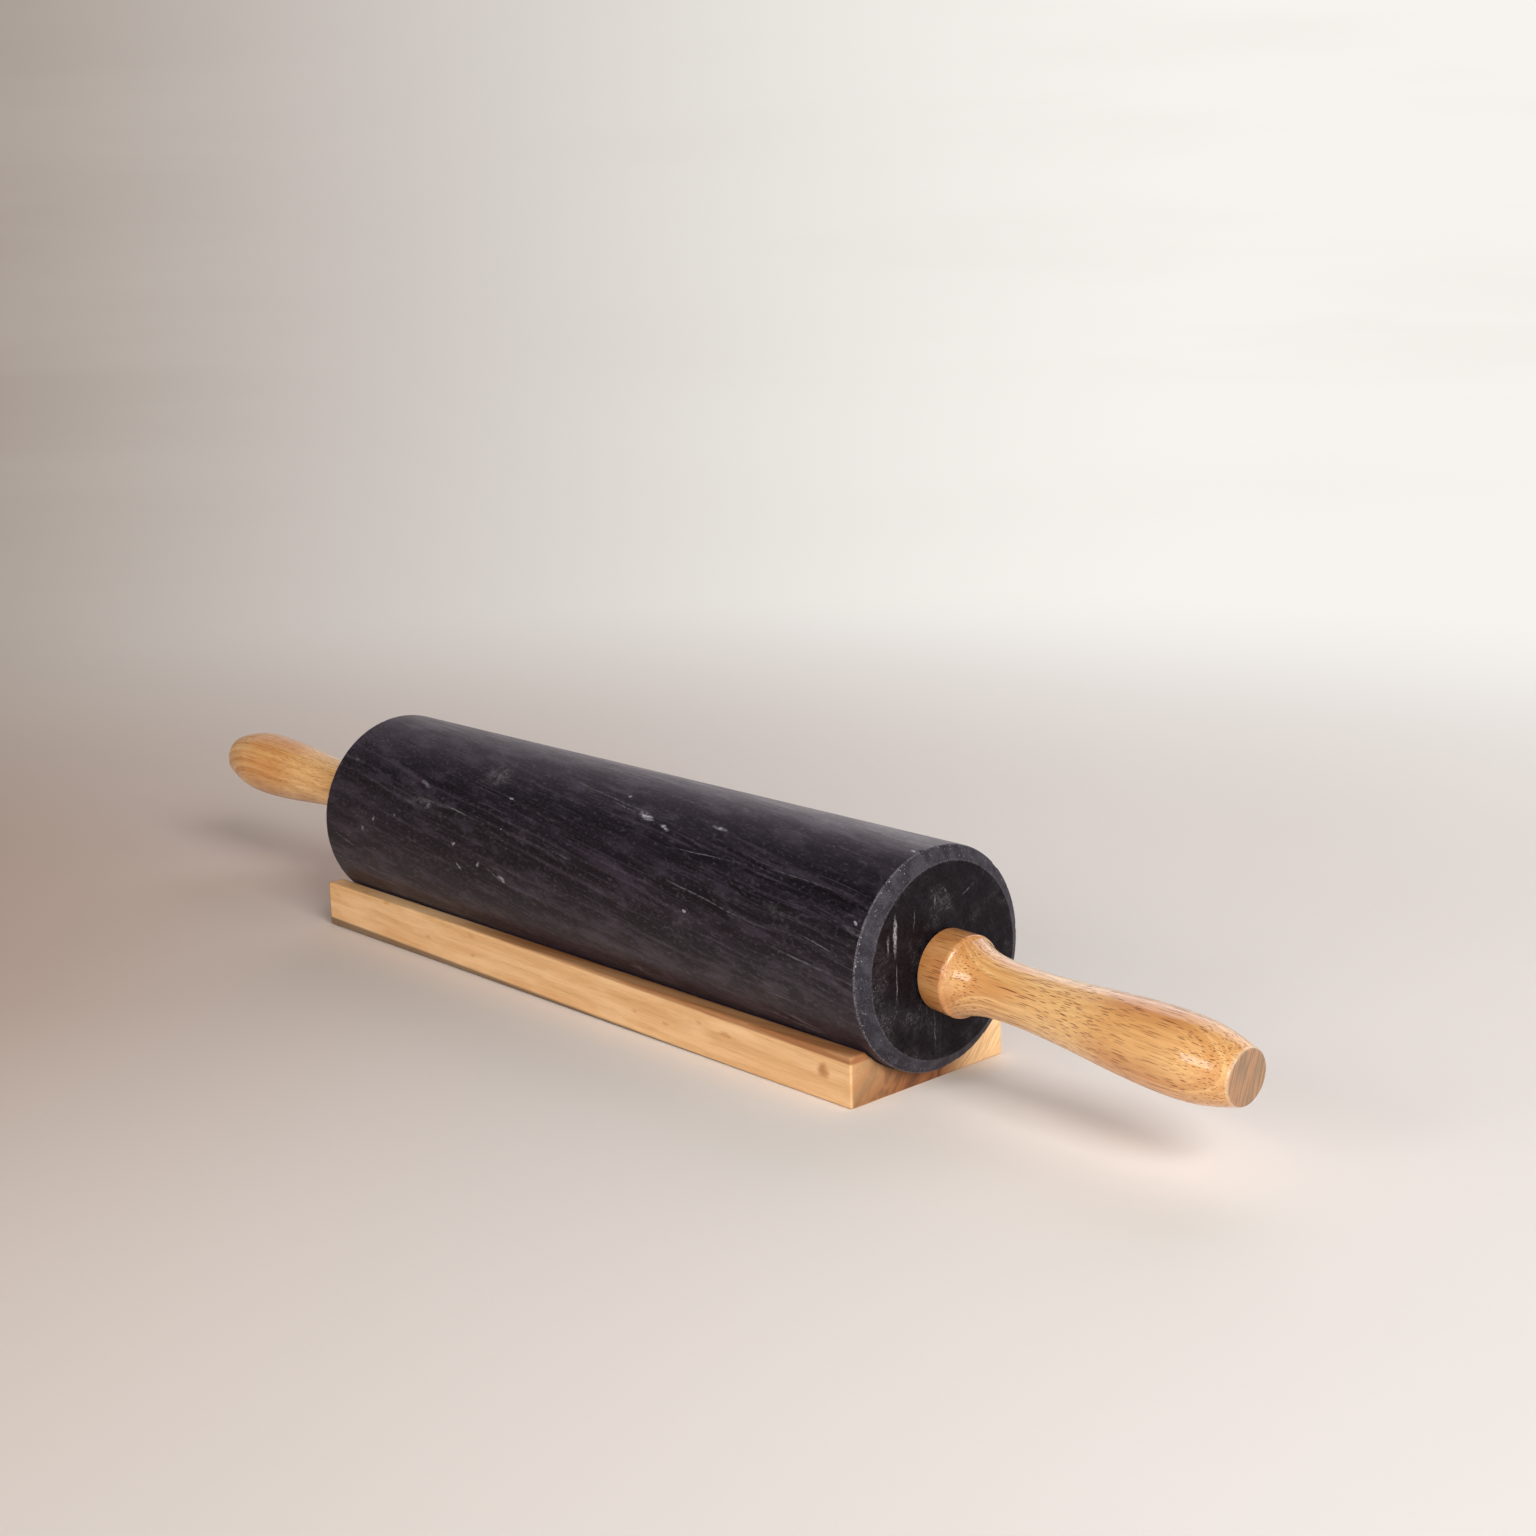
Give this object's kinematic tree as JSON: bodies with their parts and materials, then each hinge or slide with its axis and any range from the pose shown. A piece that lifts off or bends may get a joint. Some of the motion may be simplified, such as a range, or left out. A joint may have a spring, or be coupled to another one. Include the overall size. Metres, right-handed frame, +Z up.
{
  "type": "marble rolling pin with cradle",
  "caption": "Marble rolling pin with turned wooden handles on a steel axle, lying in a low wooden cradle with a round trough.",
  "frame": {"origin": "on the surface the cradle stands on, under the middle of the pin", "axes": "+X along the pin towards the right handle, +Y across the cradle, +Z up"},
  "size_m": [0.4535, 0.0624, 0.0669],
  "materials": {
    "marble": "honed to a satin, dark grey-black with fine lengthwise streaks",
    "handle_wood": "turned and lacquered, warm golden",
    "cradle_wood": "planed smooth, pale, satin",
    "nylon": "natural white",
    "steel": "drawn bar",
    "brass": "machined"
  },
  "bodies": {
    "cradle": {"cradle": "cradle_wood"},
    "handles": {"axle_rod": "steel", "handle_left": "handle_wood", "handle_right": "handle_wood", "insert_left": "brass", "insert_right": "brass", "washer_left": "nylon", "washer_right": "nylon"},
    "barrel": {"marble_barrel": "marble", "bushing_left": "nylon", "bushing_right": "nylon"}
  },
  "joints": [
    {"name": "lift_out", "type": "slide", "parent": "cradle", "child": "handles", "axis": [0, 0, 1], "range_m": [0, 0.15]},
    {"name": "barrel_turn", "type": "hinge", "parent": "handles", "child": "barrel", "pos_m": [0, 0, 0.0357], "axis": [1, 0, 0], "continuous": true}
  ]
}
